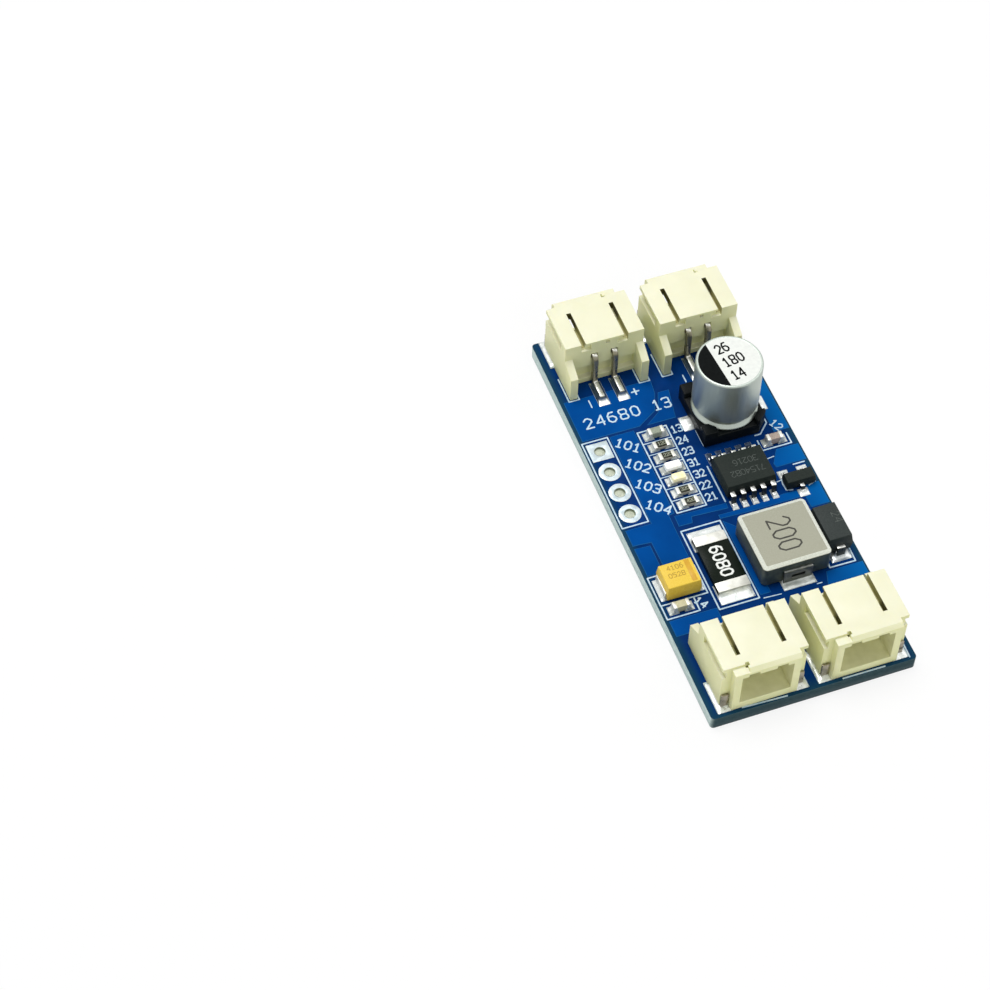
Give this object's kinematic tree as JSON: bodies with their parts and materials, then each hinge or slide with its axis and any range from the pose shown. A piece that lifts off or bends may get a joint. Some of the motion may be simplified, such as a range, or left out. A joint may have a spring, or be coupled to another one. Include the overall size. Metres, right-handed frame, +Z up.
{
  "type": "battery charger module",
  "caption": "Blue circuit module that charges a battery cell, with side-entry wire sockets at both ends, a header row and surface-mount power parts.",
  "frame": {"origin": "centre of the board's flat underside", "axes": "+X along the short edge, +Y along the long edge towards the end with the tall capacitor, +Z up out of the side with the parts"},
  "size_m": [0.0196, 0.045, 0.0091],
  "materials": {
    "solder_mask": "semi-gloss blue solder mask on glass laminate",
    "tinned_copper": "bright solder-levelled copper",
    "ivory_moulding": "satin moulded polyester, natural ivory",
    "tinned_pin": "bright tin plate",
    "component_tin": "satin tin plate",
    "rolled_can": "satin drawn aluminium",
    "black_moulding": "satin moulded black",
    "moulding_compound": "matt charcoal moulding compound",
    "pressed_powder": "pressed iron powder, matt coated",
    "yellow_moulding": "satin moulded yellow",
    "glazed_resistor": "alumina with a black glaze coat",
    "fired_ceramic": "matt fired ceramic",
    "lamp_resin": "glossy cast resin"
  },
  "bodies": {
    "root": {"capacitor_base": "black_moulding", "capacitor_can": "rolled_can", "capacitor_lead_1": "tinned_pin", "capacitor_lead_2": "tinned_pin", "ceramic_capacitor_1": "fired_ceramic", "ceramic_capacitor_2": "fired_ceramic", "ceramic_capacitor_3": "fired_ceramic", "charger_chip_body": "moulding_compound", "charger_chip_far_leads": "component_tin", "charger_chip_near_leads": "component_tin", "chip_resistor_1": "glazed_resistor", "chip_resistor_2": "glazed_resistor", "chip_resistor_3": "glazed_resistor", "chip_resistor_4": "glazed_resistor", "circuit_board": "solder_mask", "diode_body": "moulding_compound", "diode_lead_1": "component_tin", "diode_lead_2": "component_tin", "header_eyelet_1": "tinned_copper", "header_eyelet_2": "tinned_copper", "header_eyelet_3": "tinned_copper", "header_eyelet_4": "tinned_copper", "indicator_lamp_1": "lamp_resin", "indicator_lamp_2": "lamp_resin", "inductor_core": "pressed_powder", "inductor_strap_1": "component_tin", "inductor_strap_2": "component_tin", "sense_resistor_body": "glazed_resistor", "sense_resistor_cap_1": "component_tin", "sense_resistor_cap_2": "component_tin", "socket_far_left_housing": "ivory_moulding", "socket_far_left_pin_1": "tinned_pin", "socket_far_left_pin_2": "tinned_pin", "socket_far_left_tab_1": "tinned_pin", "socket_far_left_tab_2": "tinned_pin", "socket_far_right_housing": "ivory_moulding", "socket_far_right_pin_1": "tinned_pin", "socket_far_right_pin_2": "tinned_pin", "socket_far_right_tab_1": "tinned_pin", "socket_far_right_tab_2": "tinned_pin", "socket_near_left_housing": "ivory_moulding", "socket_near_left_pin_1": "tinned_pin", "socket_near_left_pin_2": "tinned_pin", "socket_near_left_tab_1": "tinned_pin", "socket_near_left_tab_2": "tinned_pin", "socket_near_right_housing": "ivory_moulding", "socket_near_right_pin_1": "tinned_pin", "socket_near_right_pin_2": "tinned_pin", "socket_near_right_tab_1": "tinned_pin", "socket_near_right_tab_2": "tinned_pin", "tantalum_body": "yellow_moulding", "tantalum_strap_1": "component_tin", "tantalum_strap_2": "component_tin", "tinned_lands": "tinned_copper", "transistor_body": "moulding_compound", "transistor_lead_1": "component_tin", "transistor_lead_2": "component_tin", "transistor_lead_3": "component_tin"}
  },
  "joints": []
}
